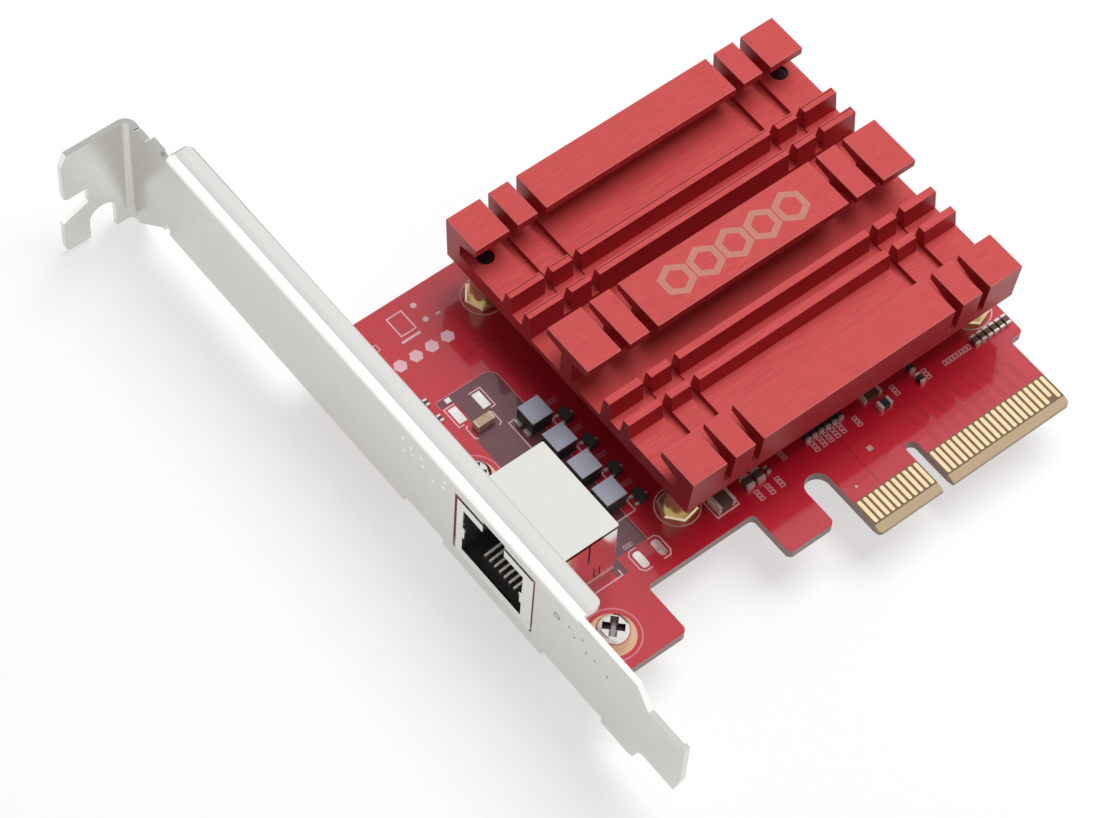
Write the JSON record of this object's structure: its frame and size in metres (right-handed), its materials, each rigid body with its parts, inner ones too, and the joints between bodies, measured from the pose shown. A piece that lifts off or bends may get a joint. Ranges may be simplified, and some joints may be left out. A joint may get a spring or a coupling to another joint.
{
  "type": "network interface card",
  "caption": "Low-power expansion card with one network jack, a slot bracket, an edge connector and a red finned heat sink on standoffs.",
  "frame": {"origin": "centre line of the key notch, on the board's bottom edge, at the component side's face", "axes": "+X along the edge connector away from the bracket, +Y up from the edge connector, +Z out of the component side"},
  "size_m": [0.0949, 0.1209, 0.0239],
  "materials": {
    "pcb": "red solder mask, satin",
    "edge_contacts_front": "gold plate",
    "edge_contacts_back": "gold plate",
    "bracket": "bright zinc plate, satin",
    "screw_lands": "gold plate",
    "solder_pads": "tin plate",
    "bracket_screws": "nickel plate",
    "heat_sink": "red anodised, satin",
    "standoffs": "turned",
    "heat_sink_screws": "nickel plate",
    "controller_balls": "solder",
    "controller_substrate": "green laminate",
    "controller_lid": "nickel plate, satin",
    "thermal_pad": "soft, matt",
    "jack_shield": "bright tin",
    "jack_insert": "black, satin",
    "jack_contacts": "gold plate",
    "transformer_cores": "black, matt",
    "transformer_plates": "grey, ground",
    "transformer_terminals": "tin plate",
    "surge_diodes": "black, matt",
    "surge_diode_leads": "tin plate",
    "bulk_capacitor": "beige, satin",
    "bulk_capacitor_ends": "tin plate",
    "filter_inductor": "dark grey, matt",
    "filter_inductor_ends": "tin plate",
    "chip_capacitors": "brown, satin",
    "chip_capacitor_ends": "tin plate",
    "chip_resistors": "black, satin",
    "chip_resistor_ends": "tin plate",
    "crystal_can": "bright",
    "flash_memory": "black, matt",
    "flash_memory_leads": "tin plate",
    "power_inductors": "grey, matt",
    "power_inductor_leads": "tin plate",
    "regulators": "black, matt",
    "regulator_leads": "tin plate"
  },
  "bodies": {
    "root": {"pcb": "pcb", "edge_contacts_front": "edge_contacts_front", "edge_contacts_back": "edge_contacts_back", "bracket": "bracket", "screw_lands": "screw_lands", "solder_pads": "solder_pads", "bracket_screws": "bracket_screws", "heat_sink": "heat_sink", "standoffs": "standoffs", "heat_sink_screws": "heat_sink_screws", "controller_balls": "controller_balls", "controller_substrate": "controller_substrate", "controller_lid": "controller_lid", "thermal_pad": "thermal_pad", "jack_shield": "jack_shield", "jack_insert": "jack_insert", "jack_contacts": "jack_contacts", "transformer_cores": "transformer_cores", "transformer_plates": "transformer_plates", "transformer_terminals": "transformer_terminals", "surge_diodes": "surge_diodes", "surge_diode_leads": "surge_diode_leads", "bulk_capacitor": "bulk_capacitor", "bulk_capacitor_ends": "bulk_capacitor_ends", "filter_inductor": "filter_inductor", "filter_inductor_ends": "filter_inductor_ends", "chip_capacitors": "chip_capacitors", "chip_capacitor_ends": "chip_capacitor_ends", "chip_resistors": "chip_resistors", "chip_resistor_ends": "chip_resistor_ends", "crystal_can": "crystal_can", "flash_memory": "flash_memory", "flash_memory_leads": "flash_memory_leads", "power_inductors": "power_inductors", "power_inductor_leads": "power_inductor_leads", "regulators": "regulators", "regulator_leads": "regulator_leads"}
  },
  "joints": []
}
